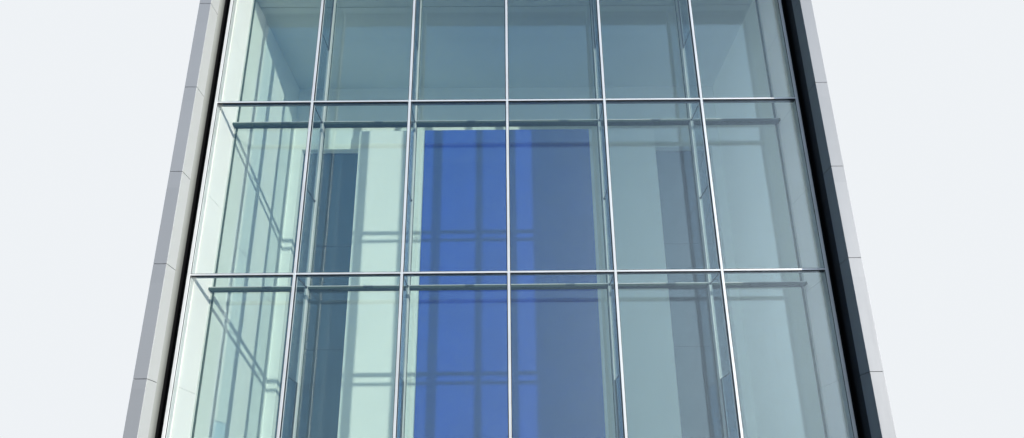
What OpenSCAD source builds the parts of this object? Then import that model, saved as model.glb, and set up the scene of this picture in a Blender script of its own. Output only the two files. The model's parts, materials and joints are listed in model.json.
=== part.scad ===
// Town hall building: a metal clad tube, glazed at both ends, with a tall hall behind a double glass front
// X runs to the right seen from the front, the front looks towards -Y and Z points up
// The origin is at the middle of the footprint, on the ground

/* [Glass grid] */
// Width of one bay, between the centres of two mullions
bay_w = 2000; // [1600:50:2400]
// Number of bays across the front, an even number
bay_count = 6; // [4:2:8]
// Height of one full row of glass
row_h = 3700; // [3300:50:4200]
// Height of the transom over the entrance row
base_h = 2200; // [2150:50:2600]
// Width of mullions and height of transoms
bar_w = 60; // [40:5:90]
// Thickness of a glass pane
glass_t = 30; // [20:2:44]
// Joint between two panes, hidden under a cap
pane_joint = 16; // [10:1:24]

/* [Outer skin] */
// Depth of the caps in front of the glass
cap_d = 20; // [12:1:40]
// Depth of the bars behind the outer glass
outer_bar_d = 90; // [60:5:140]
// Depth of the end posts and of the head rail
end_post_d = 200; // [190:5:300]
// Height of the rail along the floor
sill_h = 100; // [70:5:150]

/* [Inner skin] */
// Distance from the front of the outer skin to the front of the inner bars
cavity_d = 875; // [600:5:1200]
// Depth of the inner bars in front of their glass
inner_bar_d = 145; // [100:5:300]
// Thickness of the white side lining in the cavity
cavity_lining_t = 40; // [12:1:60]
// Thickness of the rods that tie the two skins
tie_t = 20; // [12:1:40]
// Thickness of the upright glass plates that part the cavity at each mullion
baffle_t = 14; // [8:1:24]
// Height of the top of the lower plates above the ground
baffle_top = 4020; // [3000:10:4800]
// Height of the foot of the upper plates above the ground
baffle_foot = 11450; // [10500:10:12000]
// Open joint between two plates
baffle_joint = 12; // [6:1:20]

/* [Clad frame] */
// Length of the building from front edge to rear edge
building_l = 16000; // [12000:100:20000]
// Width of the clad frame seen from the front
frame_w = 240; // [200:10:400]
// How far the clad frame stands in front of the outer skin
frame_out = 630; // [450:10:900]
// Width of the dark gap between frame and skin
gap_w = 110; // [60:5:160]
// Thickness of the metal cladding
clad_t = 40; // [20:2:60]
// Depth of the grey strip in front of the skin
strip_d = 250; // [150:10:400]
// Thickness of the plate at the bottom of the dark gap
gap_plate_t = 20; // [8:1:30]
// Height of the open joint between ground and cladding
foot_gap = 20; // [10:5:60]
// Width of the metal coping around the roof
coping_w = 450; // [300:10:800]
// How far the roof sheet lies below the coping
roof_drop = 20; // [10:1:30]

/* [Shell] */
// How far walls and roof stand in from the edge of the grid
wall_inset = 30; // [10:5:50]
// Thickness of the floor above the ground
floor_t = 100; // [60:10:300]
// Distance from the roof slab down to the hall ceiling
ceiling_t = 70; // [50:5:200]
// Width and depth of the dark groove across the ceiling
ceiling_groove = 40; // [20:5:45]
// Distance from the front of the outer skin to the ceiling groove
groove_at = 1600; // [1400:50:2500]

/* [Hall rear wall] */
// Distance from the front of the outer skin to the rear wall of the hall
hall_d = 5310; // [4000:10:7000]
// Thickness of that rear wall
rear_wall_t = 300; // [200:10:500]
// Width of the display wall in the middle
display_w = 8160; // [6500:20:9000]
// How far the display wall rises above the slots
display_above = 400; // [200:20:900]
// How far the display wall stands in front of the rear wall
display_t = 300; // [100:10:600]
// Width of the tall slot at each side of the display wall
slot_w = 1650; // [900:10:1800]
// Height of the slots above the ground
slot_h = 11240; // [8500:20:11900]
// Thickness of the dark screen in a slot
screen_t = 30; // [20:2:60]
// Width of the blue panel on the display wall
panel_w = 4540; // [3000:20:6000]
// Thickness of the blue panel
panel_t = 30; // [15:1:60]

/* [Doors] */
// Width of the frame around a door leaf
leaf_rim = 55; // [40:1:90]
// Thickness of a door leaf
leaf_t = 60; // [44:1:90]
// Clearance around a door leaf
leaf_gap = 4; // [3:1:8]
// Thickness of the glass in a door leaf
leaf_glass_t = 16; // [10:1:24]
// Diameter of a pull handle
pull_d = 32; // [20:1:40]
// Length of a pull handle
pull_l = 1100; // [600:20:1500]
// Height of the middle of a pull handle above the floor
pull_mid = 1050; // [850:10:1200]
// Clear distance between leaf and pull handle
pull_off = 45; // [35:1:70]

/* [Hidden] */
row_count = 3;
$fn = 32;
grid_w = bay_count * bay_w;
grid_h = base_h + row_count * row_h;
half_grid = grid_w / 2;
half_w = half_grid + gap_w + frame_w;
total_h = grid_h + gap_w + frame_w;
half_l = building_l / 2;
skin_y = half_l - frame_out;
shell_y = skin_y - end_post_d;
strip_y = skin_y + strip_d;
wall_x = half_grid - wall_inset;
roof_z = grid_h - wall_inset;
ceiling_z = roof_z - ceiling_t;
inner_y = cavity_d - skin_y;
inner_glass_y = inner_y + inner_bar_d;
inner_back_y = inner_glass_y + glass_t;
inner_end_y = inner_back_y + cap_d;
glass_y = cap_d - skin_y;
bar_y = glass_y + glass_t;
bar_end_y = bar_y + outer_bar_d;
rear_wall_y = hall_d - skin_y;
rear_wall_end = rear_wall_y + rear_wall_t;
display_y = rear_wall_y - display_t;
display_h = slot_h + display_above;
door_bays = [bay_count / 2 - 1, bay_count / 2];
leaf_clear_w = bay_w - bar_w;
leaf_w = (leaf_clear_w - 3 * leaf_gap) / 2;
leaf_low = floor_t + leaf_gap;
leaf_high = base_h - bar_w / 2 - leaf_gap;
pull_z = floor_t + pull_mid;
post_at = pull_l / 3;
post_d = 16;
pivot_d = 30;

metal = [0.72, 0.74, 0.77];
satin = [0.86, 0.88, 0.90];
grey = [0.42, 0.43, 0.44];
dark = [0.06, 0.07, 0.08];
plaster = [0.88, 0.90, 0.88];
concrete = [0.66, 0.66, 0.65];
glass_tint = [0.60, 0.78, 0.76, 0.45];
dark_glass = [0.10, 0.14, 0.18];
blue = [0.07, 0.14, 0.52];

// Helpers

// A box from its lowest to its highest corner
module block(low, high) {
    translate(low)
        cube(high - low);
}

// The same thing at the front and, mirrored, at the rear
module at_rear() {
    mirror([0, 1, 0])
        children();
}

// Height of the centre of a transom, counted from the entrance row
function transom_z(row) = base_h + row * row_h;

// Centre of a mullion, counted from the left edge of the grid
function mullion_x(i) = i * bay_w - half_grid;

// Corners of the wall section: a thick middle and a slim part that carries the clad frame
function core_outline(in, slim, out) = [
    [slim, clad_t - half_l], [out, clad_t - half_l],
    [out, half_l - clad_t], [slim, half_l - clad_t],
    [slim, shell_y], [in, shell_y],
    [in, -shell_y], [slim, -shell_y]
];

// Corners of the lining that closes the gap between clad frame and skin
function lining_outline(edge) = [
    [edge + gap_w + clad_t, -strip_y], [edge + gap_w + clad_t, -shell_y],
    [edge, -shell_y], [edge, -shell_y - gap_plate_t],
    [edge + gap_w, -shell_y - gap_plate_t], [edge + gap_w, -strip_y]
];

// Turns an outline in X and Y into one in Z and Y, drawn out along X to both sides
module along_x(half) {
    translate([half, 0, 0])
        rotate([0, -90, 0])
            linear_extrude(2 * half)
                children();
}

// Shell

module floor_slab() color(concrete) {
    block([-wall_x, -shell_y, 0], [wall_x, shell_y, floor_t]);
    block([bar_w - half_grid, -skin_y, 0], [half_grid - bar_w, skin_y, floor_t]);
}

module side_wall() {
    linear_extrude(roof_z)
        polygon(core_outline(wall_x, half_w - frame_w + clad_t, half_w - clad_t));
}

module left_wall() color(plaster) mirror([1, 0, 0]) side_wall();

module right_wall() color(plaster) side_wall();

module roof_slab() color(concrete) {
    along_x(half_w - clad_t)
        polygon(core_outline(roof_z, total_h - frame_w + clad_t, total_h - clad_t));
    for (side = [-1, 1])
        for (end = [-1, 1])
            fin_head(side, end);
}

// The slim part of a side wall goes on up to the slim part of the roof
module fin_head(side, end) {
    inside = half_w - frame_w + clad_t;
    top = total_h - frame_w + clad_t;
    mirror([side < 0 ? 1 : 0, 0, 0])
        mirror([0, end < 0 ? 1 : 0, 0])
            block([inside, shell_y, roof_z], [half_w - clad_t, half_l - clad_t, top]);
}

// Cladding

module side_cladding() {
    inside = half_w - frame_w;
    outline = [
        [inside, -half_l], [half_w, -half_l], [half_w, half_l], [inside, half_l],
        [inside, strip_y], [inside + clad_t, strip_y],
        [inside + clad_t, half_l - clad_t], [half_w - clad_t, half_l - clad_t],
        [half_w - clad_t, clad_t - half_l], [inside + clad_t, clad_t - half_l],
        [inside + clad_t, -strip_y], [inside, -strip_y]
    ];
    translate([0, 0, foot_gap])
        linear_extrude(total_h - clad_t - foot_gap)
            polygon(outline);
}

module left_cladding() color(metal) mirror([1, 0, 0]) side_cladding();

module right_cladding() color(metal) side_cladding();

// Front and underside of the frame over the glass
module beam_cladding() {
    inside = half_w - frame_w;
    low = total_h - frame_w;
    block([-inside, -half_l, low], [inside, clad_t - half_l, total_h - clad_t]);
    block([-inside, -half_l, low], [inside, -strip_y, low + clad_t]);
}

module roof_cladding() color(metal) {
    difference() {
        block([-half_w, -half_l, total_h - clad_t], [half_w, half_l, total_h]);
        block(
            [coping_w - half_w, coping_w - half_l, total_h - 2 * clad_t],
            [half_w - coping_w, half_l - coping_w, total_h + clad_t]
        );
    }
    beam_cladding();
    at_rear() beam_cladding();
}

module roof_sheet() color(grey)
    block(
        [coping_w - half_w, coping_w - half_l, total_h - clad_t],
        [half_w - coping_w, half_l - coping_w, total_h - roof_drop]
    );

module gap_lining() {
    for (side = [0, 1])
        mirror([side, 0, 0])
            translate([0, 0, foot_gap])
                linear_extrude(grid_h - foot_gap)
                    polygon(lining_outline(half_grid));
    along_x(half_grid + gap_w + clad_t)
        polygon(lining_outline(grid_h));
}

module front_gap_lining() color(grey) gap_lining();

module rear_gap_lining() color(grey) at_rear() gap_lining();

// Glass skins

// Upright bars between the bays
module mullions(y0, y1, z0, z1) {
    for (i = [1:bay_count - 1])
        block([mullion_x(i) - bar_w / 2, y0, z0], [mullion_x(i) + bar_w / 2, y1, z1]);
}

// Level bars over the entrance row and between the full rows
module transoms(y0, y1, half) {
    for (row = [0:row_count - 1])
        block([-half, y0, transom_z(row) - bar_w / 2], [half, y1, transom_z(row) + bar_w / 2]);
}

// Rails along the floor, left out at the doors
module floor_rails(y0, y1, half) {
    door_x = mullion_x(door_bays[1] + 1);
    block([-half, y0, floor_t], [-door_x, y1, floor_t + sill_h]);
    block([door_x, y0, floor_t], [half, y1, floor_t + sill_h]);
}

// One layer of a skin
module bar_layer(y0, y1, half, top) {
    mullions(y0, y1, floor_t, top);
    transoms(y0, y1, half);
    floor_rails(y0, y1, half);
}

module outer_skin_frame() {
    bar_layer(-skin_y, glass_y, half_grid - bar_w / 2, grid_h - bar_w / 2);
    bar_layer(bar_y, bar_end_y, half_grid - bar_w / 2, grid_h - bar_w / 2);
    for (side = [0, 1])
        mirror([side, 0, 0])
            block([half_grid - bar_w, -skin_y, 0], [half_grid, -shell_y, grid_h]);
    block([-half_grid, -skin_y, grid_h - bar_w], [half_grid, -shell_y, grid_h]);
}

module outer_frame() color(satin) outer_skin_frame();

module rear_frame() color(satin) at_rear() outer_skin_frame();

module inner_frame() color(satin) {
    half = wall_x - cavity_lining_t;
    bar_layer(inner_y, inner_glass_y, half, roof_z - bar_w / 2);
    bar_layer(inner_back_y, inner_end_y, half, roof_z - bar_w / 2);
    block([-half, inner_y, roof_z - bar_w], [half, inner_end_y, roof_z]);
    for (side = [0, 1])
        mirror([side, 0, 0])
            block([half - bar_w, inner_glass_y, floor_t], [half, inner_end_y, roof_z]);
}

// Panes of one row, edge to edge under the caps and against the end posts
module panes(y0, low, high, edge, bays) {
    for (i = bays) {
        x0 = max(mullion_x(i) + pane_joint / 2, -edge);
        x1 = min(mullion_x(i + 1) - pane_joint / 2, edge);
        block([x0, y0, low], [x1, y0 + glass_t, high]);
    }
}

// Panes of a full row
module row_panes(row, y0, edge, top) {
    low = transom_z(row) + pane_joint / 2;
    high = min(transom_z(row + 1) - pane_joint / 2, top - bar_w);
    panes(y0, low, high, edge, [0:bay_count - 1]);
}

// Panes beside the doors and in the door leaves
module entrance_panes(y0, edge, leaf_y) {
    low = floor_t + sill_h / 2;
    high = base_h - pane_joint / 2;
    panes(y0, low, high, edge, [0:door_bays[0] - 1]);
    panes(y0, low, high, edge, [door_bays[1] + 1:bay_count - 1]);
    mid = leaf_y + (leaf_t - leaf_glass_t) / 2;
    for (bay = door_bays)
        for (leaf = [0, 1]) {
            x0 = leaf_x(bay, leaf) + leaf_rim;
            x1 = leaf_x(bay, leaf) + leaf_w - leaf_rim;
            block([x0, mid, leaf_low + leaf_rim], [x1, mid + leaf_glass_t, leaf_high - leaf_rim]);
        }
}

// Left edge of a door leaf
function leaf_x(bay, leaf) = mullion_x(bay) + bar_w / 2 + leaf_gap + leaf * (leaf_w + leaf_gap);

// A pair of framed leaves in each door bay, with a pull handle on both faces
module doors(leaf_y) {
    for (bay = door_bays)
        for (leaf = [0, 1])
            door_leaf(leaf_x(bay, leaf), leaf_y, leaf == 0 ? 1 : 0);
}

// A leaf with its pull handles, held by a pivot at its head and foot
module door_leaf(x0, y0, meets_right) {
    pull_x = x0 + (meets_right == 1 ? leaf_w - leaf_rim / 2 : leaf_rim / 2);
    pivot_x = x0 + (meets_right == 1 ? leaf_rim / 2 : leaf_w - leaf_rim / 2);
    difference() {
        block([x0, y0, leaf_low], [x0 + leaf_w, y0 + leaf_t, leaf_high]);
        block(
            [x0 + leaf_rim, y0 - leaf_t, leaf_low + leaf_rim],
            [x0 + leaf_w - leaf_rim, y0 + 2 * leaf_t, leaf_high - leaf_rim]
        );
    }
    pull(pull_x, y0, -1);
    pull(pull_x, y0 + leaf_t, 1);
    for (low = [floor_t, leaf_high])
        translate([pivot_x, y0 + leaf_t / 2, low])
            cylinder(h = leaf_gap, d = pivot_d);
}

// A round bar on two short posts
module pull(x, y, dir) {
    axis_y = y + dir * (pull_off + pull_d / 2);
    translate([x, axis_y, pull_z - pull_l / 2])
        cylinder(h = pull_l, d = pull_d);
    for (end = [-1, 1])
        translate([x, y, pull_z + end * post_at])
            rotate([-90 * dir, 0, 0])
                cylinder(h = pull_off + pull_d / 2, d = post_d);
}

outer_edge = half_grid - bar_w;
inner_edge = wall_x - cavity_lining_t;
outer_leaf_y = bar_y;
inner_leaf_y = inner_glass_y - leaf_t;

module outer_glass_entrance() color(glass_tint) entrance_panes(glass_y, outer_edge, outer_leaf_y);

module outer_glass_lower() color(glass_tint) row_panes(0, glass_y, outer_edge, grid_h);

module outer_glass_middle() color(glass_tint) row_panes(1, glass_y, outer_edge, grid_h);

module outer_glass_upper() color(glass_tint) row_panes(2, glass_y, outer_edge, grid_h);

module outer_doors() color(satin) doors(outer_leaf_y);

module inner_glass_entrance() color(glass_tint)
    entrance_panes(inner_glass_y, inner_edge - bar_w, inner_leaf_y);

module inner_glass_lower() color(glass_tint) row_panes(0, inner_glass_y, inner_edge - bar_w, roof_z);

module inner_glass_middle() color(glass_tint) row_panes(1, inner_glass_y, inner_edge - bar_w, roof_z);

module inner_glass_upper() color(glass_tint) row_panes(2, inner_glass_y, inner_edge - bar_w, roof_z);

module inner_doors() color(satin) doors(inner_leaf_y);

module rear_glass_entrance() color(glass_tint) at_rear() entrance_panes(glass_y, outer_edge, outer_leaf_y);

module rear_glass_lower() color(glass_tint) at_rear() row_panes(0, glass_y, outer_edge, grid_h);

module rear_glass_middle() color(glass_tint) at_rear() row_panes(1, glass_y, outer_edge, grid_h);

module rear_glass_upper() color(glass_tint) at_rear() row_panes(2, glass_y, outer_edge, grid_h);

module rear_doors() color(satin) at_rear() doors(outer_leaf_y);

// Cavity between the two skins

// Heights of the rods: at the two upper transoms and halfway between them
tie_levels = [transom_z(1), transom_z(1) + row_h / 2, transom_z(2)];

module skin_ties() color(dark)
    for (z = tie_levels)
        for (i = [1:bay_count - 1])
            block(
                [mullion_x(i) - tie_t / 2, bar_end_y, z - tie_t / 2],
                [mullion_x(i) + tie_t / 2, inner_y, z + tie_t / 2]
            );

// Upright plates of glass between the mullions of the two skins
module baffles(low, high)
    for (i = [1:bay_count - 1])
        block(
            [mullion_x(i) - baffle_t / 2, bar_end_y, low],
            [mullion_x(i) + baffle_t / 2, inner_y, high]
        );

module baffles_lower() color(glass_tint) baffles(floor_t, baffle_top);

// Cut around the rods
module baffles_middle() color(glass_tint)
    difference() {
        baffles(baffle_top + baffle_joint, baffle_foot - baffle_joint);
        for (z = tie_levels)
            block(
                [-half_grid, -skin_y, z - tie_t / 2 - baffle_joint],
                [half_grid, inner_end_y, z + tie_t / 2 + baffle_joint]
            );
    }

module baffles_upper() color(glass_tint) baffles(baffle_foot, roof_z - bar_w);

module cavity_lining()
    block([wall_x - cavity_lining_t, -shell_y, floor_t], [wall_x, inner_end_y, roof_z]);

module cavity_lining_left() color(plaster) mirror([1, 0, 0]) cavity_lining();

module cavity_lining_right() color(plaster) cavity_lining();

module cavity_head() color(plaster)
    block([-inner_edge, -shell_y, roof_z - bar_w], [inner_edge, inner_y, roof_z]);

// Hall

module hall_ceiling() color(plaster)
    difference() {
        block([-wall_x, inner_end_y, ceiling_z], [wall_x, rear_wall_y, roof_z]);
        block(
            [-wall_x - ceiling_t, groove_at - skin_y, ceiling_z - ceiling_t],
            [wall_x + ceiling_t, groove_at - skin_y + ceiling_groove, ceiling_z + ceiling_groove]
        );
    }

module rear_ceiling() color(plaster)
    block([-wall_x, rear_wall_end, ceiling_z], [wall_x, shell_y, roof_z]);

module hall_rear_wall_middle() color(plaster)
    block([-display_w / 2, rear_wall_y, floor_t], [display_w / 2, rear_wall_end, slot_h]);

module rear_wall_side()
    block([display_w / 2 + slot_w, rear_wall_y, floor_t], [wall_x, rear_wall_end, slot_h]);

module hall_rear_wall_left() color(plaster) mirror([1, 0, 0]) rear_wall_side();

module hall_rear_wall_right() color(plaster) rear_wall_side();

module hall_rear_wall_head() color(plaster)
    block([-wall_x, rear_wall_y, slot_h], [wall_x, rear_wall_end, roof_z]);

module display_wall() color(plaster)
    block([-display_w / 2, display_y, floor_t], [display_w / 2, rear_wall_y, display_h]);

module blue_panel() color(blue)
    block([-panel_w / 2, display_y - panel_t, floor_t], [panel_w / 2, display_y, display_h]);

module slot_screen()
    block(
        [display_w / 2, rear_wall_end - screen_t, floor_t],
        [display_w / 2 + slot_w, rear_wall_end, slot_h]
    );

module slot_screen_left() color(dark_glass) mirror([1, 0, 0]) slot_screen();

module slot_screen_right() color(dark_glass) slot_screen();

floor_slab();
left_wall();
right_wall();
roof_slab();
left_cladding();
right_cladding();
roof_cladding();
roof_sheet();
front_gap_lining();
rear_gap_lining();
outer_frame();
outer_glass_entrance();
outer_glass_lower();
outer_glass_middle();
outer_glass_upper();
outer_doors();
inner_frame();
inner_glass_entrance();
inner_glass_lower();
inner_glass_middle();
inner_glass_upper();
inner_doors();
skin_ties();
baffles_lower();
baffles_middle();
baffles_upper();
cavity_lining_left();
cavity_lining_right();
cavity_head();
hall_ceiling();
hall_rear_wall_middle();
hall_rear_wall_left();
hall_rear_wall_right();
hall_rear_wall_head();
display_wall();
blue_panel();
slot_screen_left();
slot_screen_right();
rear_ceiling();
rear_frame();
rear_glass_entrance();
rear_glass_lower();
rear_glass_middle();
rear_glass_upper();
rear_doors();
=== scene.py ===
import json
import math
from itertools import product

import bmesh
import bpy
from mathutils import Matrix, Vector


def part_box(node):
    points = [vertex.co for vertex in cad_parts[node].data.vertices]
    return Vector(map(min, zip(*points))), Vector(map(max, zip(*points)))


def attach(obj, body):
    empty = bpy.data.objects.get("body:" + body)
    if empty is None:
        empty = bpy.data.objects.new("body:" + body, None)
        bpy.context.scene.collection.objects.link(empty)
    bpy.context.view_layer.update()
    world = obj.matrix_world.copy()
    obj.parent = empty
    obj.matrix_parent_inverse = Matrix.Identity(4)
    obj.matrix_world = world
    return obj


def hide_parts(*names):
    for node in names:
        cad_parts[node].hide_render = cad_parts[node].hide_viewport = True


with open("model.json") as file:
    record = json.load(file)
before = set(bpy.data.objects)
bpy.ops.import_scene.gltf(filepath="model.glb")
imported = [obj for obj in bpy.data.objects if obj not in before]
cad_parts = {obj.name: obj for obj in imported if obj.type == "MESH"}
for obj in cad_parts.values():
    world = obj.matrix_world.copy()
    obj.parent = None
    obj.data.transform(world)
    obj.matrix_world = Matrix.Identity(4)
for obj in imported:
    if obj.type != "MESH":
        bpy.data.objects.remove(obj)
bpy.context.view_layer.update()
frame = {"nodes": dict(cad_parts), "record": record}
nodes = frame["nodes"]
print("frame loaded with", len(nodes), "nodes")


# a node socket that takes part in plain maths
class Val:
    def __init__(self, surface, socket):
        self.surface = surface
        self.socket = socket

    def maths(self, operation, *others):
        values = dict(enumerate((self,) + others))
        return self.surface.add("ShaderNodeMath", {"operation": operation}, values)

    # the other value comes first
    def flipped(self, operation, other):
        return self.surface.add("ShaderNodeMath", {"operation": operation}, {0: other, 1: self})

    def __add__(self, other):
        return self.maths("ADD", other)

    def __radd__(self, other):
        return self.maths("ADD", other)

    def __sub__(self, other):
        return self.maths("SUBTRACT", other)

    def __rsub__(self, other):
        return self.flipped("SUBTRACT", other)

    def __mul__(self, other):
        return self.maths("MULTIPLY", other)

    def __rmul__(self, other):
        return self.maths("MULTIPLY", other)

    def __truediv__(self, other):
        return self.maths("DIVIDE", other)

    def __rtruediv__(self, other):
        return self.flipped("DIVIDE", other)

    def __gt__(self, other):
        return self.maths("GREATER_THAN", other)

    def __lt__(self, other):
        return self.maths("LESS_THAN", other)

    def floor(self):
        return self.maths("FLOOR")

    def abs(self):
        return self.maths("ABSOLUTE")

    def largest(self, other):
        return self.maths("MAXIMUM", other)

    def power(self, size):
        return self.maths("POWER", size)

    def pingpong(self, size):
        return self.maths("PINGPONG", size)

    def clamp(self):
        return self.surface.add("ShaderNodeClamp", {}, {"Value": self})

    def ramp(self, low, high):
        return self.surface.add(
            "ShaderNodeMapRange",
            {"interpolation_type": "SMOOTHSTEP"},
            {"Value": self, "From Min": low, "From Max": high},
        )


# one material and its nodes, or the world and its nodes
class Surface:
    def __init__(self, name, world=False):
        self.material = (bpy.data.worlds if world else bpy.data.materials).new(name)
        self.material.use_nodes = True
        self.tree = self.material.node_tree
        self.tree.nodes.clear()
        self.output = self.tree.nodes.new("ShaderNodeOutputWorld" if world else "ShaderNodeOutputMaterial")
        self.place = self.add("ShaderNodeTexCoord", {}, {}, "Generated" if world else "Object")

    def add(self, kind, settings=None, values=None, out=0):
        made = self.tree.nodes.new(kind)
        for key, value in (settings or {}).items():
            setattr(made, key, value)
        for key, value in (values or {}).items():
            socket = made.inputs[key]
            if isinstance(value, Val):
                self.tree.links.new(value.socket, socket)
            else:
                socket.default_value = value
        return Val(self, made.outputs[out])

    def axes(self, vector=None):
        split = self.add("ShaderNodeSeparateXYZ", {}, {0: vector or self.place})
        made = split.socket.node
        return [Val(self, made.outputs[i]) for i in range(3)]

    def stretched(self, scale):
        return self.add("ShaderNodeVectorMath", {"operation": "MULTIPLY"}, {0: self.place, 1: scale})

    def noise(self, scale, detail=4.0, rough=0.55, stretch=(1, 1, 1)):
        return self.add(
            "ShaderNodeTexNoise",
            {},
            {"Vector": self.stretched(stretch), "Scale": scale, "Detail": detail, "Roughness": rough},
        )

    # a random number for each panel or tile
    def cells(self, x, y, z):
        where = self.add("ShaderNodeCombineXYZ", {}, {0: x, 1: y, 2: z})
        return self.add("ShaderNodeTexWhiteNoise", {}, {"Vector": where})

    def mixed(self, share, first, second):
        return self.add("ShaderNodeMix", {"data_type": "RGBA"}, {0: share, 6: first, 7: second}, 2)

    def blended(self, share, first, second):
        return self.add("ShaderNodeMixShader", {}, {0: share, 1: first, 2: second})

    def bump(self, height, strength, distance):
        return self.add("ShaderNodeBump", {}, {"Height": height, "Strength": strength, "Distance": distance})

    def glowing(self, colour, strength):
        return self.add("ShaderNodeBackground", {}, {"Color": colour, "Strength": strength})

    def shine(self, **values):
        named = {key.replace("_", " "): value for key, value in values.items()}
        return self.add("ShaderNodeBsdfPrincipled", {}, named)

    def finish(self, shader):
        self.tree.links.new(shader.socket, self.output.inputs["Surface"])
        return self.material


def rgba(red, green, blue):
    return (red, green, blue, 1.0)


def darker(colour, share):
    return rgba(*(c * share for c in colour[:3]))


# sizes read from the part, in metres
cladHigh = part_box("roof_cladding")[1]
outerLow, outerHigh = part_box("outer_frame")
innerLow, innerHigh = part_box("inner_frame")
house = {
    "halfWidth": cladHigh.x,
    "halfLength": cladHigh.y,
    "top": cladHigh.z,
    "gridHalf": outerHigh.x,
    "gridTop": outerHigh.z,
    "skin": -outerLow.y,
    "skinEnd": -outerHigh.y,
    "innerFront": innerLow.y,
    "innerEnd": innerHigh.y,
    "innerHalf": innerHigh.x,
    "innerTop": innerHigh.z,
    "floor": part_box("floor_slab")[1].z,
    "frameWidth": 0.24,
    "stripEnd": 7.62,
    "bay": 2.0,
    "bays": 6,
    "transoms": [2.2, 5.9, 9.6],
    "bar": 0.06,
    "glass": 0.03,
    "cap": 0.02,
}
mullionPlaces = [house["bay"] * i - house["gridHalf"] for i in range(1, house["bays"])]


# coated sheet metal: every panel has its own tone, with faint brushing and rain marks; the faces inside the
# frame (returns and the head's underside) get a lighter tone, and on the right half at the front a painted
# shade instead
claddingTone = {
    "light": rgba(0.35, 0.36, 0.375),
    "dark": rgba(0.30, 0.31, 0.325),
    "stain": rgba(0.32, 0.33, 0.35),
    "return": rgba(0.60, 0.61, 0.595),
    "paintedShadeReturn": rgba(0.15, 0.18, 0.21),
    "returnX": house["halfWidth"] - house["frameWidth"] + 0.003,
    "returnZ": house["top"] - house["frameWidth"] + 0.003,
    "panel": 1.85,
    "metal": 0.18,
    "rough": 0.46,
}


def claddingSurface():
    s = Surface("metal_cladding")
    x, y, z = s.axes()
    size = claddingTone["panel"]
    panel = s.cells((x / size).floor(), (y / size).floor(), (z / size).floor())
    brushed = s.noise(40.0, 3.0, stretch=(1, 1, 0.06))
    cloudy = s.noise(0.9, 4.0)
    runs = s.noise(5.0, 5.0, 0.6, stretch=(1, 1, 0.12))
    tone = (panel * 0.5 + cloudy * 0.6).clamp()
    colour = s.mixed(tone, claddingTone["dark"], claddingTone["light"])
    colour = s.mixed(runs.ramp(0.62, 0.85) * 0.3, colour, claddingTone["stain"])
    inside = (x.abs() < claddingTone["returnX"]) * (z < claddingTone["returnZ"])
    # painted shade: the inside faces on the right half at the front get a dark colour
    fold = s.mixed((x > 0.0) * (y < 0.0), claddingTone["return"], claddingTone["paintedShadeReturn"])
    colour = s.mixed(inside * 0.9, colour, fold)
    shader = s.shine(
        Base_Color=colour,
        Metallic=claddingTone["metal"],
        Roughness=claddingTone["rough"] + brushed * 0.1 + runs.ramp(0.5, 0.8) * 0.08,
        Normal=s.bump(brushed * 0.3 + cloudy, 0.12, 0.02),
    )
    return s.finish(shader)


# anodised bars, dull, with a painted shade on their undersides
def barSurface(name, colour, metal, rough, under=1.0):
    s = Surface(name)
    brushed = s.noise(60.0, 3.0, stretch=(1, 1, 0.04))
    cloudy = s.noise(1.6, 3.0)
    tone = s.mixed(cloudy.ramp(0.35, 0.7), colour, darker(colour, 0.9))
    down = s.axes(s.add("ShaderNodeTexCoord", {}, {}, "Normal"))[2]
    shader = s.shine(
        # painted shade: faces turned downwards are darkened by the factor under
        Base_Color=s.mixed((0.0 - down).ramp(0.4, 0.9), tone, darker(colour, under)),
        Metallic=metal,
        Roughness=rough + brushed * 0.12,
        Normal=s.bump(brushed, 0.05, 0.004),
    )
    return s.finish(shader)


# painted plaster with a fine trowelled grain
def plasterSurface(name, light, dark, grain=0.25):
    s = Surface(name)
    broad = s.noise(0.5, 5.0, 0.6)
    fine = s.noise(28.0, 6.0, 0.65)
    dust = s.noise(3.5, 5.0, 0.6, stretch=(1, 1, 0.4))
    colour = s.mixed(broad.ramp(0.3, 0.72), dark, light)
    colour = s.mixed(dust.ramp(0.6, 0.8) * 0.2, colour, dark)
    shader = s.shine(
        Base_Color=colour,
        Roughness=0.7 + fine * 0.2,
        Normal=s.bump(fine + broad * 0.4, grain, 0.004),
    )
    return s.finish(shader)


# cast concrete with pores and cloudy patches
def concreteSurface(name, light, dark):
    s = Surface(name)
    cloudy = s.noise(0.8, 6.0, 0.62)
    pores = s.noise(90.0, 2.0)
    streak = s.noise(2.0, 4.0, 0.6, stretch=(1, 1, 0.15))
    colour = s.mixed((cloudy * 0.7 + streak * 0.4).ramp(0.35, 0.75), dark, light)
    colour = s.mixed(pores.ramp(0.7, 0.78) * 0.6, colour, darker(dark, 0.5))
    shader = s.shine(
        Base_Color=colour,
        Roughness=0.78 + cloudy * 0.15,
        Normal=s.bump(cloudy - pores.ramp(0.68, 0.8), 0.35, 0.006),
    )
    return s.finish(shader)


# honed stone slabs with thin joints
tiles = {
    "size": 0.8,
    "joint": 0.006,
    "light": rgba(0.52, 0.51, 0.49),
    "dark": rgba(0.40, 0.40, 0.385),
    "jointTone": rgba(0.12, 0.12, 0.12),
}


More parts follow.
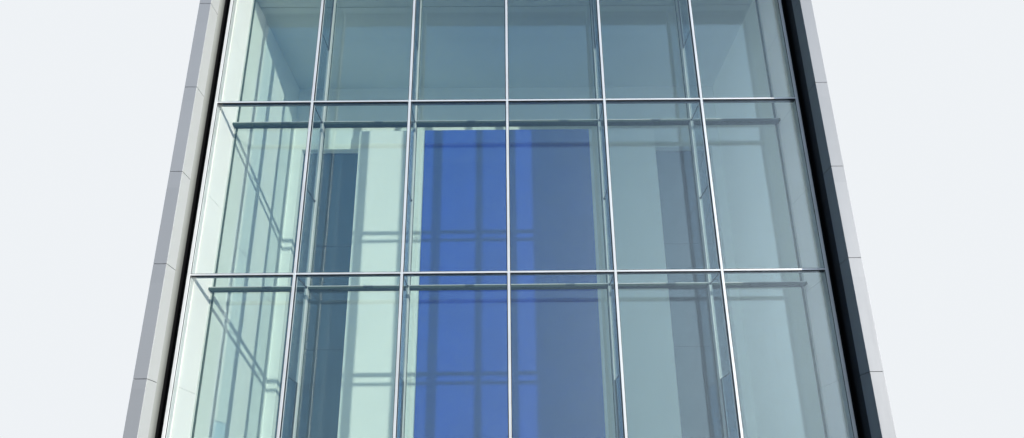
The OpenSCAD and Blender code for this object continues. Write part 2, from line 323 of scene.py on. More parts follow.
def tileSurface():
    s = Surface("concrete_floor")
    x, y, z = s.axes()
    size = tiles["size"]
    half = tiles["joint"] / size / 2
    across = ((x / size).pingpong(0.5) < half).largest((y / size).pingpong(0.5) < half)
    tone = s.cells((x / size + 0.5).floor(), (y / size + 0.5).floor(), 0.0)
    veins = s.noise(3.0, 8.0, 0.65)
    colour = s.mixed((tone * 0.4 + veins * 0.6).clamp(), tiles["dark"], tiles["light"])
    colour = s.mixed(across, colour, tiles["jointTone"])
    shader = s.shine(
        Base_Color=colour,
        Roughness=0.38 + veins * 0.2 + across * 0.3,
        Normal=s.bump(veins * 0.1 - across, 0.3, 0.003),
    )
    return s.finish(shader)


# roofing felt with fine chippings
felt = {"dark": rgba(0.10, 0.105, 0.11), "light": rgba(0.22, 0.225, 0.23), "dried": rgba(0.28, 0.28, 0.27)}


def roofSurface():
    s = Surface("roof_sheet")
    chips = s.noise(160.0, 3.0)
    puddles = s.noise(0.35, 4.0)
    colour = s.mixed(chips.ramp(0.35, 0.7), felt["dark"], felt["light"])
    colour = s.mixed(puddles.ramp(0.5, 0.75) * 0.5, colour, felt["dried"])
    shader = s.shine(Base_Color=colour, Roughness=0.82 + chips * 0.15, Normal=s.bump(chips, 0.4, 0.003))
    return s.finish(shader)


# painted steel and boards
def paintSurface(name, colour, rough, coat=0.0, spread=0.12):
    s = Surface(name)
    orange = s.noise(120.0, 2.0)
    broad = s.noise(0.9, 4.0)
    shader = s.shine(
        Base_Color=s.mixed(broad.ramp(0.3, 0.7), darker(colour, 1 - spread), colour),
        Roughness=rough + broad * 0.08,
        Coat_Weight=coat,
        Specular_IOR_Level=0.25,
        Normal=s.bump(orange, 0.08, 0.0008),
    )
    return s.finish(shader)


# glass: most of the light goes straight on with a tint, a share is mirrored;
# plates have an edge tone for a glance along them, where they also mirror more
glassTone = {
    "clear": rgba(0.972, 0.992, 0.982),
    "insulated": rgba(0.942, 0.979, 0.957),
    "plate": rgba(0.95, 0.985, 0.99),
    "lowerPlate": rgba(0.72, 0.84, 0.93),
    "plateEdge": rgba(0.43, 0.51, 0.61),
    "lowerPlateEdge": rgba(0.32, 0.44, 0.58),
    "mirror": rgba(0.95, 0.98, 1.0),
}


def glassSurface(name, through, mirrored, glance=0.0, edge=None):
    s = Surface(name)
    waves = s.noise(0.35, 2.0)
    dust = s.noise(2.2, 6.0, 0.7)
    mirror = s.add(
        "ShaderNodeBsdfAnisotropic",
        {},
        {"Color": glassTone["mirror"], "Roughness": 0.02, "Normal": s.bump(waves, 0.02, 0.02)},
    )
    share = mirrored + dust.ramp(0.5, 0.9) * 0.015
    if edge:
        facing = s.add("ShaderNodeLayerWeight", {}, {"Blend": 0.5}, "Facing")
        share = share + facing.power(5.0) * glance
        through = s.mixed(facing.power(3.0), through, edge)
    clear = s.add("ShaderNodeBsdfTransparent", {}, {"Color": through})
    return s.finish(s.blended(share, clear, mirror))


# strips beside the skin, light at the fold, with a painted shade that darkens them inwards, a painted deep
# shade on the right-hand strip at the front and a painted black shadow at the back of the gap
lining = {
    "strip": rgba(0.43, 0.445, 0.415),
    "paintedShadeAndMottleStrip": rgba(0.19, 0.198, 0.184),
    "paintedDeepShadeStrip": rgba(0.014, 0.018, 0.024),
    "gap": rgba(0.006, 0.006, 0.007),
    "backY": house["skin"] + 0.005,
    "frontY": house["skin"] + 0.25,
}


def liningSurface():
    s = Surface("grey_lining")
    x, y, z = s.axes()
    cloudy = s.noise(1.2, 4.0)
    fine = s.noise(30.0, 4.0)
    depth = y.abs()
    # painted shade: the strip darkens from the fold inwards, and the same dark colour gives a faint mottle
    strip = s.mixed(depth.ramp(lining["backY"], lining["frontY"]), lining["paintedShadeAndMottleStrip"], lining["strip"])
    strip = s.mixed(cloudy.ramp(0.3, 0.7) * 0.15, strip, lining["paintedShadeAndMottleStrip"])
    # painted shade: the right-hand strip at the front is nearly black
    strip = s.mixed((x > 0.0) * (y < 0.0), strip, lining["paintedDeepShadeStrip"])
    shader = s.shine(
        # painted shadow: the back of the gap is black
        Base_Color=s.mixed(depth < lining["backY"], strip, lining["gap"]),
        Roughness=0.5 + fine * 0.1,
        Specular_IOR_Level=0.25,
        Normal=s.bump(fine, 0.08, 0.002),
    )
    return s.finish(shader)


surfaces = {
    "metal_cladding": claddingSurface(),
    # the last number of the two bar surfaces sets the painted shade on their undersides
    "satin_bars": barSurface("satin_bars", rgba(0.72, 0.73, 0.73), 0.35, 0.34, 0.22),
    "inner_bars": barSurface("inner_bars", rgba(0.49, 0.54, 0.51), 0.2, 0.4, 0.10),
    "door_metal": barSurface("door_metal", rgba(0.62, 0.63, 0.64), 1.0, 0.25),
    "hall_plaster": plasterSurface("hall_plaster", rgba(0.84, 0.86, 0.83), rgba(0.79, 0.81, 0.78)),
    "display_plaster": plasterSurface("display_plaster", rgba(0.87, 0.88, 0.85), rgba(0.83, 0.84, 0.81)),
    "ceiling_plaster": plasterSurface("ceiling_plaster", rgba(0.66, 0.70, 0.67), rgba(0.62, 0.66, 0.63)),
    "cavity_plaster": plasterSurface("cavity_plaster", rgba(0.92, 0.91, 0.87), rgba(0.88, 0.87, 0.83), 0.1),
    "concrete": concreteSurface("concrete", rgba(0.46, 0.46, 0.45), rgba(0.34, 0.34, 0.33)),
    "concrete_floor": tileSurface(),
    "roof_sheet": roofSurface(),
    "grey_lining": liningSurface(),
    "dark_steel": paintSurface("dark_steel", rgba(0.025, 0.03, 0.035), 0.4),
    "blue_paint": paintSurface("blue_paint", rgba(0.001, 0.048, 0.45), 0.6),
    "dark_screen": paintSurface("dark_screen", rgba(0.02, 0.035, 0.05), 0.18, 0.4),
    "clear_glass": glassSurface("clear_glass", glassTone["clear"], 0.063),
    "insulated_glass": glassSurface("insulated_glass", glassTone["insulated"], 0.075),
    "plate_glass": glassSurface("plate_glass", glassTone["plate"], 0.02, 0.35, glassTone["plateEdge"]),
    "lower_plate_glass": glassSurface(
        "lower_plate_glass", glassTone["lowerPlate"], 0.0, 0.4, glassTone["lowerPlateEdge"]
    ),
    "rubber": paintSurface("rubber", rgba(0.012, 0.014, 0.016), 0.6),
    "inner_seal": paintSurface("inner_seal", rgba(0.035, 0.060, 0.040), 0.6),
}
for entry in frame["record"]["subparts"]:
    data = nodes[entry["node"]].data
    data.materials.clear()
    data.materials.append(surfaces[entry["material_slot"]])
print("surfaces made:", len(surfaces))


# adds a box with chamfered edges to a mesh
def addBlock(mesh, low, high, edge=0.0):
    ends = [[min(a, b) for a, b in zip(low, high)], [max(a, b) for a, b in zip(low, high)]]
    edge = min(edge, min(b - a for a, b in zip(*ends)) * 0.45)
    inset = (edge, -edge)
    corner = {}
    for bits in product((0, 1), repeat=3):
        for axis in range(3):
            spot = [ends[bits[k]][k] + (inset[bits[k]] if k != axis else 0.0) for k in range(3)]
            corner[bits, axis] = mesh.verts.new(spot) if edge or axis == 0 else corner[bits, 0]
    for axis in range(3):
        first, second = (axis + 1) % 3, (axis + 2) % 3

        def bitsAt(side, i, j):
            bits = [0, 0, 0]
            bits[axis], bits[first], bits[second] = side, i, j
            return tuple(bits)

        for side in (0, 1):
            mesh.faces.new([corner[bitsAt(side, i, j), axis] for i, j in ((0, 0), (1, 0), (1, 1), (0, 1))])
        if edge:
            for i, j in product((0, 1), repeat=2):
                here, there = bitsAt(0, i, j), bitsAt(1, i, j)
                loop = ((here, first), (there, first), (there, second), (here, second))
                mesh.faces.new([corner[key] for key in loop])
    if edge:
        for bits in product((0, 1), repeat=3):
            mesh.faces.new([corner[bits, axis] for axis in range(3)])


# rounds the corners of an outline by a radius, or by one radius for each corner
def roundOff(outline, radii, steps=3):
    made = []
    for i, here in enumerate(outline):
        radius = radii[i] if isinstance(radii, (list, tuple)) else radii
        here = Vector(here)
        before = (Vector(outline[i - 1]) - here).normalized() * radius
        after = (Vector(outline[(i + 1) % len(outline)]) - here).normalized() * radius
        for step in range(steps + 1):
            t = step / steps
            made.append(here + before * (1 - t) ** 2 + after * t ** 2)
    return made


# draws an outline out along one axis
def addPrism(mesh, outline, low, high, axis):
    order = {0: (2, 0, 1), 1: (0, 2, 1), 2: (0, 1, 2)}[axis]
    rings = []
    for end in (low, high):
        rings.append([mesh.verts.new([(u, v, end)[order[k]] for k in range(3)]) for u, v in outline])
    count = len(outline)
    mesh.faces.new(rings[0][::-1])
    mesh.faces.new(rings[1])
    for i in range(count):
        mesh.faces.new([rings[0][i], rings[0][(i + 1) % count], rings[1][(i + 1) % count], rings[1][i]])


# adds a round bar between two points, with chamfered ends
def addRod(mesh, start, end, radius, sides=16):
    start, end = Vector(start), Vector(end)
    along = (end - start).normalized()
    across = along.orthogonal().normalized()
    third = along.cross(across)
    ends = []
    for centre, turn in ((start, 1), (end, -1)):
        rings = []
        for inset, share in ((0.0, 0.8), (0.2, 1.0)):
            middle = centre + along * (turn * inset * radius)
            ring = []
            for i in range(sides):
                angle = 2 * math.pi * i / sides
                outwards = across * math.cos(angle) + third * math.sin(angle)
                ring.append(mesh.verts.new(middle + outwards * radius * share))
            rings.append(ring)
        ends.append(rings)
    chain = [ends[0][0], ends[0][1], ends[1][1], ends[1][0]]
    mesh.faces.new(chain[0])
    mesh.faces.new(chain[-1])
    for one, two in zip(chain, chain[1:]):
        for i in range(sides):
            j = (i + 1) % sides
            face = mesh.faces.new([one[i], one[j], two[j], two[i]])
            face.smooth = True


# makes an object of a mesh; it rides on the building and may stand for CAD nodes
def makePiece(name, mesh, surface, stands=()):
    bmesh.ops.recalc_face_normals(mesh, faces=mesh.faces)
    data = bpy.data.meshes.new(name)
    mesh.to_mesh(data)
    mesh.free()
    data.materials.append(surfaces[surface])
    piece = bpy.data.objects.new(name, data)
    bpy.context.scene.collection.objects.link(piece)
    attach(piece, "root")
    if stands:
        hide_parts(*stands)
    print("piece", name, "with", len(data.polygons), "faces")
    return piece


# panels of the clad frame: folded corner sheets at the ends and flat sheets between them
cladding = {
    "joints": [1.95, 3.865, 5.907, 7.733, 9.573, 11.577],
    "foot": 0.02,
    "gap": 0.010,
    "fold": 0.007,
    "edge": 0.003,
    "sharp": 0.001,
    "thick": 0.030,
    "play": 0.002,
    "coping": 0.040,
    "copingWidth": 0.45,
    "copingBack": 0.02,
    "copingLap": 0.03,
    "cornerReturn": 0.42,
    "columns": 8,
    "copingParts": 6,
    "depthOfJoint": 0.014,
}


def claddingRows():
    edges = [cladding["foot"]] + cladding["joints"] + [house["top"] - cladding["coping"]]
    half = cladding["gap"] / 2
    return [(low + half, high - half) for low, high in zip(edges, edges[1:])]


def sheetPath(inset, depth, end):
    outer = house["halfWidth"] - inset
    inner = house["halfWidth"] - house["frameWidth"] + inset
    front = house["halfLength"] - inset
    strip = house["stripEnd"]
    outside = [(inner, strip), (inner, front), (outer, front), (outer, end)]
    outer, inner, back = outer - depth, inner + depth, front - depth
    return outside + [(outer, end), (outer, back), (inner, back), (inner, strip)]


def makeSideCladding(name, sideWay, node):
    sheets = bmesh.new()
    backing = bmesh.new()
    outer = house["halfWidth"]
    thick = cladding["thick"]
    cornerEnd = house["halfLength"] - cladding["cornerReturn"]
    span = 2 * cornerEnd / cladding["columns"]
    half = cladding["gap"] / 2
    folds = [cladding["edge"], cladding["fold"], cladding["fold"], cladding["edge"]] + [cladding["sharp"]] * 4
    path = roundOff(sheetPath(0.0, thick, cornerEnd + half), folds)
    for low, high in claddingRows():
        for endWay in (-1, 1):
            addPrism(sheets, [(u * sideWay, v * endWay) for u, v in path], low, high, 2)
        for i in range(cladding["columns"]):
            start = i * span - cornerEnd
            addBlock(
                sheets,
                ((outer - thick) * sideWay, start + half, low),
                (outer * sideWay, start + span - half, high),
                cladding["edge"],
            )
    inset = cladding["depthOfJoint"]
    low, high = cladding["foot"] + inset, house["top"] - cladding["coping"]
    for endWay in (-1, 1):
        ring = sheetPath(inset, thick - inset - cladding["play"], 0.0)
        addPrism(backing, [(u * sideWay, v * endWay) for u, v in ring], low, high, 2)
    makePiece(name, sheets, "metal_cladding", (node,))
    makePiece(name + "_backing", backing, "rubber")


def makeRoofEdge():
    sheets = bmesh.new()
    backing = bmesh.new()
    wide, long, top = house["halfWidth"], house["halfLength"], house["top"]
    strip, sharp = house["stripEnd"], cladding["sharp"]
    lap, play = cladding["copingLap"], cladding["play"]
    backTop = top - cladding["copingBack"]
    thick, half, edge = cladding["coping"], cladding["gap"] / 2, cladding["edge"]
    width = cladding["copingWidth"]
    inside = wide - house["frameWidth"]
    low = top - house["frameWidth"]
    for endWay in (-1, 1):
        span = 2 * wide / cladding["copingParts"]
        for i in range(cladding["copingParts"]):
            start = i * span - wide
            left = start + (half if i else 0.0)
            right = start + span - (half if i < cladding["copingParts"] - 1 else 0.0)
            addBlock(sheets, (left, long * endWay, top - thick), (right, (long - width) * endWay, top), edge)
        sheet = cladding["thick"]
        head, back, over = top - thick - half, long - sheet, low + sheet
        outline = [(long, head), (long, low), (strip, low), (strip, over), (back, over), (back, head)]
        folded = roundOff(outline, [edge, cladding["fold"], edge, sharp, sharp, sharp])
        span = 2 * inside / cladding["copingParts"]
        for i in range(cladding["copingParts"]):
            start = i * span - inside
            addPrism(sheets, [(u * endWay, v) for u, v in folded], start + half, start + span - half, 0)
        inset = cladding["depthOfJoint"]
        front, under = long - inset, low + inset
        back, over = back + play, over - play
        head = top - thick
        rear = [(front, head), (front, under), (strip, under), (strip, over), (back, over), (back, head)]
        addPrism(backing, [(u * endWay, v) for u, v in rear], -inside, inside, 0)
    span = 2 * (long - width) / cladding["columns"]
    for sideWay in (-1, 1):
        for i in range(cladding["columns"]):
            start = i * span - (long - width)
            addBlock(
                sheets,
                (wide * sideWay, start + half, top - thick),
                ((wide - width) * sideWay, start + span - half, top),
                edge,
            )
        addBlock(
            backing,
            ((wide - lap) * sideWay, width - long, top - thick),
            ((wide - width + lap) * sideWay, long - width, backTop),
        )
    for endWay in (-1, 1):
        addBlock(
            backing,
            (lap - wide, (long - lap) * endWay, top - thick),
            (wide - lap, (long - width + lap) * endWay, backTop),
        )
    makePiece("roof_edge", sheets, "metal_cladding", ("roof_cladding",))
    makePiece("roof_edge_backing", backing, "rubber")


makeSideCladding("left_panels", -1, "left_cladding")
makeSideCladding("right_panels", 1, "right_cladding")
makeRoofEdge()

# felt strips on the roof, each with a lap over the next
roofing = {
    "strips": 12,
    "edge": 0.001,
    "lap": 0.10,
    "lapHeight": 0.005,
    "lapEdge": 0.003,
    "kerb": 0.06,
    "kerbRise": 0.015,
}


def makeRoofing():
    mesh = bmesh.new()
    low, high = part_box("roof_sheet")
    span = (high.y - low.y) / roofing["strips"]
    half, flat = roofing["lap"] / 2, high.z - roofing["lapHeight"]
    for i in range(roofing["strips"]):
        start = low.y + i * span
        addBlock(mesh, (low.x, start, low.z), (high.x, start + span, flat), roofing["edge"])
        if i:
            addBlock(mesh, (low.x, start - half, low.z), (high.x, start + half, high.z), roofing["lapEdge"])
    kerb, head = roofing["kerb"], high.z + roofing["kerbRise"]
    for way in (-1, 1):
        for side, start, end, axis in ((high.x, low.y, high.y, 1), (high.y, low.x, high.x, 0)):
            wedge = [(side * way, low.z), ((side - kerb) * way, low.z), (side * way, head)]
            addPrism(mesh, wedge, start, end, axis)
    makePiece("roof_felt", mesh, "roof_sheet", ("roof_sheet",))


makeRoofing()

# bars of a glass skin: caps in front of the panes, bars behind them, dark gaskets beside both
skinBars = {
    "capHalf": 0.025,
    "capHeightHalf": 0.019,
    "gasket": 0.008,
    "gasketDepth": 0.006,
    "edge": 0.004,
    "joint": 0.0015,
    "sill": 0.10,
    "depth": 0.09,
    "groove": 0.008,
    "bead": 0.004,
    "lip": 0.020,
    "recess": 0.003,
    "postEdge": 0.002,
    "doorBays": (2, 3),
}


# one layer of mullions and transoms between two depths;
# with a lip, a transom has a bright upper edge and a dark gasket face below it
def addBarLayer(bars, gaskets, near, far, glassSide, half, halfWide, halfHigh, top, lip=0.0):
    edge = skinBars["edge"]
    floor = house["floor"]
    grow = skinBars["gasket"]
    towards = 1 if (near + far) / 2 > glassSide else -1
    rim = glassSide + towards * skinBars["gasketDepth"]
    for x in mullionPlaces:
        addBlock(bars, (x - halfWide, near, floor), (x + halfWide, far, top), edge)
        addBlock(gaskets, (x - halfWide - grow, glassSide, floor), (x + halfWide + grow, rim, top))
    stops = [-half] + mullionPlaces + [half]
    bays = list(enumerate(zip(stops, stops[1:])))
    for level in house["transoms"]:
        for i, (left, right) in bays:
            start = left + (halfWide + skinBars["joint"] if i else 0.0)
            end = right - (halfWide + skinBars["joint"] if i < len(bays) - 1 else 0.0)
            low = level + halfHigh - lip if lip else level - halfHigh
            addBlock(bars, (start, near, low), (end, far, level + halfHigh), edge)
            foot, head = level - halfHigh, level + halfHigh
            if lip:
                addBlock(gaskets, (start, near + skinBars["recess"], foot), (end, far, low), edge)
            addBlock(gaskets, (start, glassSide, foot - grow), (end, rim, head + grow))
    for i, (left, right) in bays:
        if i in skinBars["doorBays"]:
            continue
        addBlock(bars, (left, near, floor), (right, far, floor + skinBars["sill"]), edge)
        addBlock(gaskets, (left, glassSide, floor), (right, rim, floor + skinBars["sill"] + grow))


def makeOuterBars(name, endWay, node):
    bars = bmesh.new()
    gaskets = bmesh.new()
    skin, skinEnd = house["skin"], house["skinEnd"]
    glassFront = skin - house["cap"]
    glassBack = glassFront - house["glass"]
    bar = house["bar"]
    half, top = house["gridHalf"], house["gridTop"]
    layerTop = top - bar / 2
    near, far = glassFront * endWay, glassBack * endWay
    capHalf, capHeightHalf = skinBars["capHalf"], skinBars["capHeightHalf"]
    addBarLayer(bars, gaskets, skin * endWay, near, near, half - bar, capHalf, capHeightHalf, layerTop)
    back = (glassBack - skinBars["depth"]) * endWay
    addBarLayer(bars, gaskets, far, back, far, half - bar, bar / 2, bar / 2, layerTop)
    groove, edge, inner = skinBars["groove"], skinBars["edge"], half - bar
    front, end = skin * endWay, skinEnd * endWay
    seam, seamEnd = (glassBack - groove) * endWay, (glassBack - 2 * groove) * endWay
    bead = (glassFront + skinBars["bead"]) * endWay
    for sideWay in (-1, 1):
        side, inside = half * sideWay, inner * sideWay
        addBlock(bars, (side, front, 0.0), (inside, seam, top), edge)
        addBlock(bars, (side, seamEnd, 0.0), (inside, end, top), edge)
        addBlock(gaskets, (side, seam, 0.0), ((inner + groove) * sideWay, seamEnd, top))
        addBlock(gaskets, (inside, near, 0.0), ((inner - groove) * sideWay, bead, top))
    addBlock(bars, (-inner, front, top - bar), (inner, seam, top), edge)
    addBlock(bars, (-inner, seamEnd, top - bar), (inner, end, top), edge)
    makePiece(name, bars, "satin_bars", (node,))
    makePiece(name + "_gaskets", gaskets, "rubber")


def makeInnerBars():
    bars = bmesh.new()
    gaskets = bmesh.new()
    front, end = house["innerFront"], house["innerEnd"]
    glassBack = end - house["cap"]
    glassFront = glassBack - house["glass"]
    bar, half, top, floor = house["bar"], house["innerHalf"], house["innerTop"], house["floor"]
    thin, layerTop = bar / 2, top - bar / 2
    addBarLayer(bars, gaskets, front, glassFront, glassFront, half, thin, thin, layerTop, skinBars["lip"])
    addBarLayer(bars, gaskets, glassBack, end, glassBack, half, thin, thin, layerTop)
    addBlock(bars, (-half, front, top - bar), (half, end, top), skinBars["edge"])
    edge = skinBars["postEdge"]
    for sideWay in (-1, 1):
        middle = (half - thin) * sideWay
        addBlock(bars, (half * sideWay, glassFront, floor), (middle, end, top), edge)
        addBlock(gaskets, (middle, glassFront + edge, floor), ((half - bar) * sideWay, end, top), edge)
    makePiece("inner_bars", bars, "inner_bars", ("inner_frame",))
    makePiece("inner_gaskets", gaskets, "inner_seal")


makeOuterBars("outer_bars", -1, "outer_frame")
makeOuterBars("rear_bars", 1, "rear_frame")
makeInnerBars()

# door leaves in the two middle bays
door = {
    "rim": 0.055,
    "edge": 0.003,
    "step": 0.001,
    "thick": 0.06,
    "gap": 0.004,
    "pull": 0.016,
    "pullLength": 1.1,
    "pullMiddle": 1.05,
    "pullClear": 0.045,
    "post": 0.008,
    "plate": 0.006,
    "bead": 0.010,
    "beadFrom": 0.008,
    "beadTo": 0.022,
    "lock": 0.014,
    "lockDepth": 0.005,
    "lockDrop": 0.75,
    "pivot": 0.015,
}


def addLeaf(metal, rubber, left, width, near, meetsRight):
    rim, edge, step = door["rim"], door["edge"], door["step"]
    low = house["floor"] + door["gap"]
    high = house["transoms"][0] - house["bar"] / 2 - door["gap"]
    far = near + door["thick"]
    right = left + width
    for x in (left, right - rim):
        addBlock(metal, (x, near, low), (x + rim, far, high), edge)
    addBlock(metal, (left + rim, near + step, high - rim), (right - rim, far - step, high), edge)
    addBlock(metal, (left + rim, near + step, low), (right - rim, far - step, low + rim), edge)
    bead, beadFrom, beadTo = door["bead"], door["beadFrom"], door["beadTo"]
    for face, inner in ((near + beadFrom, near + beadTo), (far - beadTo, far - beadFrom)):
        for x in (left + rim, right - rim - bead):
            addBlock(rubber, (x, face, low + rim), (x + bead, inner, high - rim))
        for z in (low + rim, high - rim - bead):
            addBlock(rubber, (left + rim, face, z), (right - rim, inner, z + bead))
    handle = right - rim / 2 if meetsRight else left + rim / 2
    hinge = left + rim / 2 if meetsRight else right - rim / 2
    middle = house["floor"] + door["pullMiddle"]
    reach = door["pullClear"] + door["pull"]
    long, lock = door["pullLength"], middle - door["lockDrop"]
    for face, way in ((near, -1), (far, 1)):
        axis = face + way * reach
        addRod(metal, (handle, axis, middle - long / 2), (handle, axis, middle + long / 2), door["pull"], 20)
        for place in (-1, 1):
            z = middle + place * long / 3
            addRod(metal, (handle, face, z), (handle, axis, z), door["post"], 12)
            addRod(metal, (handle, face, z), (handle, face + way * door["plate"], z), door["post"] * 2)
        addRod(metal, (handle, face, lock), (handle, face + way * door["lockDepth"], lock), door["lock"])
    core = near + door["thick"] / 2
    for z in (low - door["gap"], high):
        addRod(metal, (hinge, core, z), (hinge, core, z + door["gap"]), door["pivot"])


def makeDoors(name, near, node):
    metal = bmesh.new()
    rubber = bmesh.new()
    bay, bar, gap = house["bay"], house["bar"], door["gap"]
    width = (bay - bar - 3 * gap) / 2
    for start in (-bay, 0.0):
        for leaf in (0, 1):
            left = start + bar / 2 + gap + leaf * (width + gap)
            addLeaf(metal, rubber, left, width, near, leaf == 0)
    makePiece(name, metal, "door_metal", (node,))
    makePiece(name + "_beads", rubber, "rubber")


paneDepth = house["cap"] + house["glass"]
makeDoors("front_door_leaves", paneDepth - house["skin"], "outer_doors")
makeDoors("inner_door_leaves", house["innerEnd"] - paneDepth - door["thick"], "inner_doors")
makeDoors("rear_door_leaves", house["skin"] - paneDepth - door["thick"], "rear_doors")

# ties between the two skins, each with a plate, a lug and two bolts at its ends
tie = {
    "rod": 0.010,
    "plateHalf": 0.022,
    "plateHeightHalf": 0.025,
    "plateThick": 0.006,
    "plateEdge": 0.001,
    "lug": 0.0154,
    "lugLength": 0.035,
    "bolt": 0.0054,
    "boltLength": 0.012,
    "boltPlace": 0.75,
}


def makeTies():
    mesh = bmesh.new()
    low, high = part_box("skin_ties")
    levels = sorted({round(v.co.z * 100) for v in nodes["skin_ties"].data.vertices})
    heights = [(a + b) / 200 for a, b in zip(levels[::2], levels[1::2])]
    half, size = tie["plateHalf"], tie["plateHeightHalf"]
    for z, x in product(heights, mullionPlaces):
        addRod(mesh, (x, low.y, z), (x, high.y, z), tie["rod"])
        for face, way in ((low.y, 1), (high.y, -1)):
            plateEnd, lugEnd = face + way * tie["plateThick"], face + way * tie["lugLength"]
            boltEnd = face + way * tie["boltLength"]
            addBlock(mesh, (x - half, face, z - size), (x + half, plateEnd, z + size), tie["plateEdge"])
            addRod(mesh, (x, face, z), (x, lugEnd, z), tie["lug"])
            for place in (-1, 1):
                spot = z + place * size * tie["boltPlace"]
                addRod(mesh, (x, face, spot), (x, boltEnd, spot), tie["bolt"], 6)
    makePiece("tie_rods", mesh, "dark_steel", ("skin_ties",))


# seals around the upright plates of glass
seal = {"trim": 0.007, "trimEnd": 0.0112, "depth": 0.022, "capHeight": 0.011, "edge": 0.002}


def makeBaffles():
    trims = bmesh.new()
    trim, trimEnd, cap = seal["trim"], seal["trimEnd"], seal["capHeight"]
    low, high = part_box("baffles_lower")
    start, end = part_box("baffles_upper")[0].z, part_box("baffles_upper")[1].z
    near = high.y - seal["depth"]
    for x in mullionPlaces:
        for z in (high.z, start - cap):
            addBlock(trims, (x - trim, low.y, z), (x + trim, high.y, z + cap), seal["edge"])
        for foot, head in ((low.z, high.z), (start, end)):
            addBlock(trims, (x + trim, near, foot), (x + trimEnd, high.y, head))
            addBlock(trims, (x - trimEnd, near, foot), (x - trim, high.y, head))
    makePiece("baffle_trims", trims, "rubber")


makeTies()
makeBaffles()

# white boards along both sides of the cavity, with open joints
sideBoards = {"joint": 0.005, "edge": 0.002, "rows": 7}


def makeSideBoards(name, node):
    mesh = bmesh.new()
    low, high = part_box(node)
    span = (high.z - low.z) / sideBoards["rows"]
    half, edge = sideBoards["joint"] / 2, sideBoards["edge"]
    for i in range(sideBoards["rows"]):
        start = low.z + i * span
        addBlock(mesh, (low.x, low.y, start + half), (high.x, high.y, start + span - half), edge)
    makePiece(name, mesh, "cavity_plaster", (node,))


makeSideBoards("cavity_boards_left", "cavity_lining_left")
makeSideBoards("cavity_boards_right", "cavity_lining_right")

# the blue panel is a board with a thin dark foot and battens behind it
board = {"edge": 0.006, "foot": 0.03, "shadow": 0.008, "battenInset": 0.02, "battenFront": 0.01}


def makeBlueBoard():
    mesh = bmesh.new()
    low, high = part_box("blue_panel")
    back, foot, inset = high.y - board["shadow"], low.z + board["foot"], board["battenInset"]
    addBlock(mesh, (low.x, low.y, foot), (high.x, back, high.z), board["edge"])
    makePiece("blue_board", mesh, "blue_paint", ("blue_panel",))
    mesh = bmesh.new()
    front = low.y + board["battenFront"]
    addBlock(mesh, (low.x + inset, front, low.z), (high.x - inset, high.y, high.z - inset))
    makePiece("blue_board_battens", mesh, "rubber")


makeBlueBoard()

# slim frames around the dark screens in the slots
screenFrame = {"width": 0.03, "depth": 0.02, "backDepth": 0.004, "edge": 0.003, "levels": 4}


def makeScreenFrames():
    mesh = bmesh.new()
    width, depth, edge = screenFrame["width"], screenFrame["depth"], screenFrame["edge"]
    for node in ("slot_screen_left", "slot_screen_right"):
        low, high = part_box(node)
        for near, far in ((low.y - depth, low.y), (high.y - screenFrame["backDepth"], high.y)):
            for x in (low.x, high.x - width):
                addBlock(mesh, (x, near, low.z), (x + width, far, high.z), edge)
            step = (high.z - low.z) / screenFrame["levels"]
            for i in range(screenFrame["levels"] + 1):
                z = min(max(low.z + i * step - width / 2, low.z), high.z - width)
                addBlock(mesh, (low.x + width, near, z), (high.x - width, far, z + width), edge)
    makePiece("screen_frames", mesh, "dark_steel")


makeScreenFrames()


# camera solved from the bars and edges in the photo
view = {
    "place": (-0.031, -20.723, 1.600),
    "yaw": 0.447,
    "pitch": 21.887,
    "roll": -0.656,
    "focal": 748.0,
    "width": 1024.0,
    "sensor": 36.0,
    "far": 500.0,
}


def makeCamera():
    yaw, pitch, roll = (math.radians(view[key]) for key in ("yaw", "pitch", "roll"))
    ahead = Vector((math.sin(yaw) * math.cos(pitch), math.cos(yaw) * math.cos(pitch), math.sin(pitch)))
    level = Vector((math.cos(yaw), -math.sin(yaw), 0.0))
    over = level.cross(ahead)
    right = level * math.cos(roll) + over * math.sin(roll)
    up = over * math.cos(roll) - level * math.sin(roll)
    data = bpy.data.cameras.new("camera")
    data.sensor_width = view["sensor"]
    data.lens = view["focal"] / view["width"] * view["sensor"]
    data.clip_end = view["far"]
    camera = bpy.data.objects.new("camera", data)
    turn = Matrix((right, up, -ahead)).transposed().to_4x4()
    camera.matrix_world = Matrix.Translation(view["place"]) @ turn
    bpy.context.scene.collection.objects.link(camera)
    bpy.context.scene.camera = camera


# low sun from the front right, and a surrounding light that is stronger on the sun's side;
# glossy rays see a blue sky with a white glow around the sun, the camera a pale backdrop
light = {
    "sun": 4.0,
    "sunColour": (1.0, 0.96, 0.90),
    "sunAngle": 0.6,
    "sunWay": (-1.0, 1.03, -0.255),
    "fill": rgba(0.86, 0.98, 1.16),
    "fillPower": 0.74,
    "fillAway": 0.68,
    "fillSun": 1.22,
    "backdrop": rgba(0.86, 0.89, 0.92),
    "low": rgba(0.34, 0.55, 0.76),
    "high": rgba(0.14, 0.39, 0.78),
    "highFrom": 0.75,
    "glow": rgba(0.92, 0.97, 1.0),
    "glowPower": 2.2,
    "glowSize": 8.2,
}


def makeSun():
    lamp = bpy.data.lights.new("sun", "SUN")
    lamp.energy = light["sun"]
    lamp.color = light["sunColour"]
    lamp.angle = math.radians(light["sunAngle"])
    sun = bpy.data.objects.new("sun", lamp)
    sun.rotation_euler = Vector(light["sunWay"]).to_track_quat("-Z", "Y").to_euler()
    bpy.context.scene.collection.objects.link(sun)


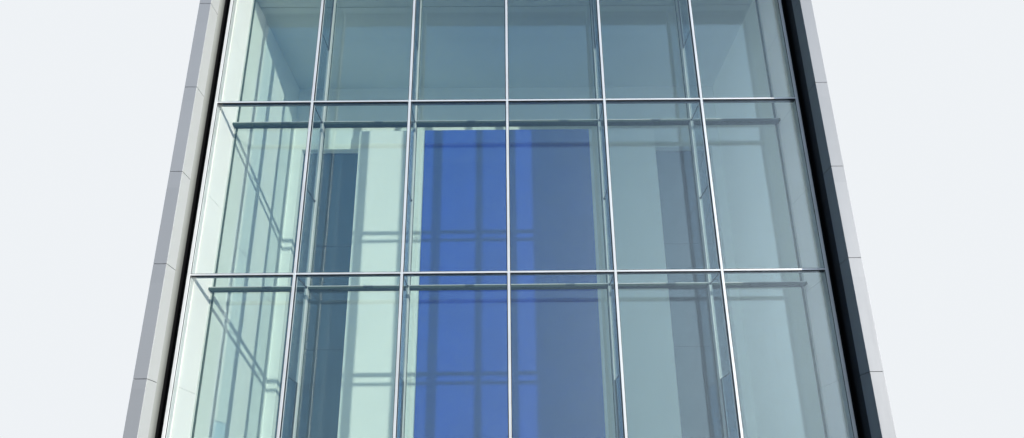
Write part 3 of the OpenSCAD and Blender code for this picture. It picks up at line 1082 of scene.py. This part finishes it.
def makeSurroundings():
    s = Surface("surroundings", True)
    bpy.context.scene.world = s.material
    x, y, z = s.axes()
    climb = s.add("ShaderNodeMapRange", {}, {"Value": z, "From Min": 0.0, "From Max": light["highFrom"]})
    sky = s.glowing(s.mixed(climb, light["low"], light["high"]), 1.0)
    away, towards = light["fillPower"] * light["fillAway"], light["fillPower"] * light["fillSun"]
    side = s.add("ShaderNodeMapRange", {}, {"Value": x, "From Min": -1.0, "To Min": away, "To Max": towards})
    fill = s.glowing(light["fill"], side)
    sunPlace = -Vector(light["sunWay"]).normalized()
    toSun = s.add("ShaderNodeVectorMath", {"operation": "DOT_PRODUCT"}, {0: s.place, 1: sunPlace}, "Value")
    glow = s.glowing(light["glow"], toSun.largest(0.0).power(light["glowSize"]) * light["glowPower"])
    mirrored = s.add("ShaderNodeAddShader", {}, {0: sky, 1: glow})
    lit = s.blended(s.add("ShaderNodeLightPath", {}, {}, "Is Glossy Ray"), fill, mirrored)
    backdrop = s.glowing(light["backdrop"], 1.0)
    s.finish(s.blended(s.add("ShaderNodeLightPath", {}, {}, "Is Camera Ray"), lit, backdrop))


# pale floor under the building
ground = {"half": 120.0, "drop": 0.002, "colour": rgba(0.62, 0.62, 0.61), "bounce": rgba(0.10, 0.10, 0.098)}


def makeGround():
    mesh = bmesh.new()
    half, low = ground["half"], -ground["drop"]
    corners = ((-half, -half), (half, -half), (half, half), (-half, half))
    mesh.faces.new([mesh.verts.new((x, y, low)) for x, y in corners])
    data = bpy.data.meshes.new("ground")
    mesh.to_mesh(data)
    mesh.free()
    floor = bpy.data.objects.new("ground", data)
    bpy.context.scene.collection.objects.link(floor)
    s = Surface("ground")
    spots = s.noise(0.5, 5.0)
    colour = s.mixed(spots.ramp(0.3, 0.7), darker(ground["colour"], 0.96), ground["colour"])
    seen = s.shine(Base_Color=colour, Roughness=0.85)
    bounce = s.shine(Base_Color=ground["bounce"], Roughness=0.9)
    path = s.add("ShaderNodeLightPath", {}, {}, "Is Camera Ray")
    data.materials.append(s.finish(s.blended(path, bounce, seen)))


makeCamera()
makeSun()
makeSurroundings()
makeGround()
bpy.context.scene.view_settings.view_transform = "Standard"
bpy.context.scene.cycles.transparent_max_bounces = 32
bpy.context.scene.cycles.diffuse_bounces = 6
print("camera, light and ground made")
